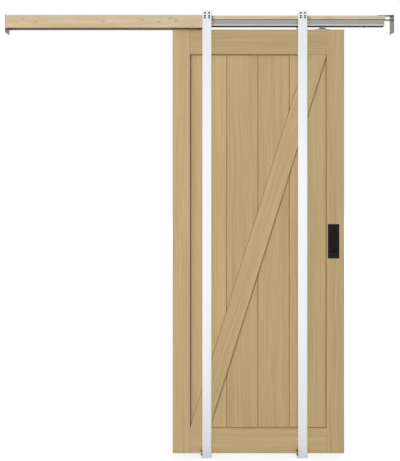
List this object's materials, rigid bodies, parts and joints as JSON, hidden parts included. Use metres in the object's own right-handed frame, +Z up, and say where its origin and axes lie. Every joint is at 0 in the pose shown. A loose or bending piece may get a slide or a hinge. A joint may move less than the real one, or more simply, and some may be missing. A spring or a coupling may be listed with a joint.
{
  "type": "pocket sliding door with frame",
  "caption": "Braced plank door leaf with flush pulls, hung on rollers in a top track under a timber header, sliding into a wall pocket between split steel studs.",
  "frame": {"origin": "on the floor, at the middle of the frame's length and of the wall's depth", "axes": "+X along the header to the pocket end, +Y to the back of the wall, +Z up"},
  "size_m": [1.862, 0.0938, 2.143],
  "materials": {
    "door_timber": "clear matt oil on straight grained timber",
    "frame_timber": "planed bare pine",
    "track_aluminium": "extruded, satin anodised",
    "white_steel": "white coated sheet",
    "zinc_steel": "zinc plated sheet",
    "bright_hardware": "zinc plated",
    "black_pull": "matt black powder coat",
    "black_screws": "black oxide",
    "white_nylon": "natural nylon",
    "black_rubber": "matt"
  },
  "bodies": {
    "frame": {"header_board": "frame_timber", "front_nailer": "frame_timber", "rear_nailer": "frame_timber", "track": "track_aluminium", "left_end_bracket": "zinc_steel", "right_end_bracket": "zinc_steel", "end_bracket_screws": "bright_hardware", "track_screws": "bright_hardware", "left_track_stop": "zinc_steel", "right_track_stop": "zinc_steel", "left_stop_buffer": "black_rubber", "right_stop_buffer": "black_rubber", "track_stop_screws": "bright_hardware", "front_jamb_stud": "white_steel", "rear_jamb_stud": "white_steel", "front_pocket_stud": "white_steel", "rear_pocket_stud": "white_steel", "stud_screws": "black_screws", "jamb_stud_tie": "zinc_steel", "pocket_stud_tie": "zinc_steel", "jamb_floor_bracket": "zinc_steel", "pocket_floor_bracket": "zinc_steel", "floor_bracket_screws": "black_screws", "front_door_guide": "white_nylon", "rear_door_guide": "white_nylon", "guide_screws": "bright_hardware"},
    "door": {"left_stile": "door_timber", "right_stile": "door_timber", "top_rail": "door_timber", "bottom_rail": "door_timber", "plank_1": "door_timber", "plank_2": "door_timber", "plank_3": "door_timber", "plank_4": "door_timber", "front_brace": "door_timber", "rear_brace": "door_timber", "front_pull": "black_pull", "rear_pull": "black_pull", "pull_screws": "black_screws", "left_hanger_plate": "zinc_steel", "right_hanger_plate": "zinc_steel", "hanger_plate_screws": "bright_hardware", "left_hanger_bolt": "bright_hardware", "right_hanger_bolt": "bright_hardware", "left_jam_nut": "bright_hardware", "right_jam_nut": "bright_hardware", "left_carriage": "zinc_steel", "right_carriage": "zinc_steel", "left_axles": "bright_hardware", "right_axles": "bright_hardware"},
    "left_outer_wheels": {"left_wheel_1": "white_nylon", "left_wheel_2": "white_nylon"},
    "left_inner_wheels": {"left_wheel_3": "white_nylon", "left_wheel_4": "white_nylon"},
    "right_inner_wheels": {"right_wheel_1": "white_nylon", "right_wheel_2": "white_nylon"},
    "right_outer_wheels": {"right_wheel_3": "white_nylon", "right_wheel_4": "white_nylon"}
  },
  "joints": [
    {"name": "door_slide", "type": "slide", "parent": "frame", "child": "door", "axis": [1, 0, 0], "range_m": [-0.638, 0.143]},
    {"name": "left_outer_axle_spin", "type": "hinge", "parent": "door", "child": "left_outer_wheels", "pos_m": [-0.051, 0, 2.0862], "axis": [0, 1, 0], "continuous": true},
    {"name": "left_inner_axle_spin", "type": "hinge", "parent": "door", "child": "left_inner_wheels", "pos_m": [-0.003, 0, 2.0862], "axis": [0, 1, 0], "continuous": true},
    {"name": "right_inner_axle_spin", "type": "hinge", "parent": "door", "child": "right_inner_wheels", "pos_m": [0.569, 0, 2.0862], "axis": [0, 1, 0], "continuous": true},
    {"name": "right_outer_axle_spin", "type": "hinge", "parent": "door", "child": "right_outer_wheels", "pos_m": [0.617, 0, 2.0862], "axis": [0, 1, 0], "continuous": true}
  ],
  "couplings": [
    {"joint": "left_outer_axle_spin", "follows": "door_slide", "rad_per_m": 105.26},
    {"joint": "left_inner_axle_spin", "follows": "door_slide", "rad_per_m": 105.26},
    {"joint": "right_inner_axle_spin", "follows": "door_slide", "rad_per_m": 105.26},
    {"joint": "right_outer_axle_spin", "follows": "door_slide", "rad_per_m": 105.26}
  ]
}
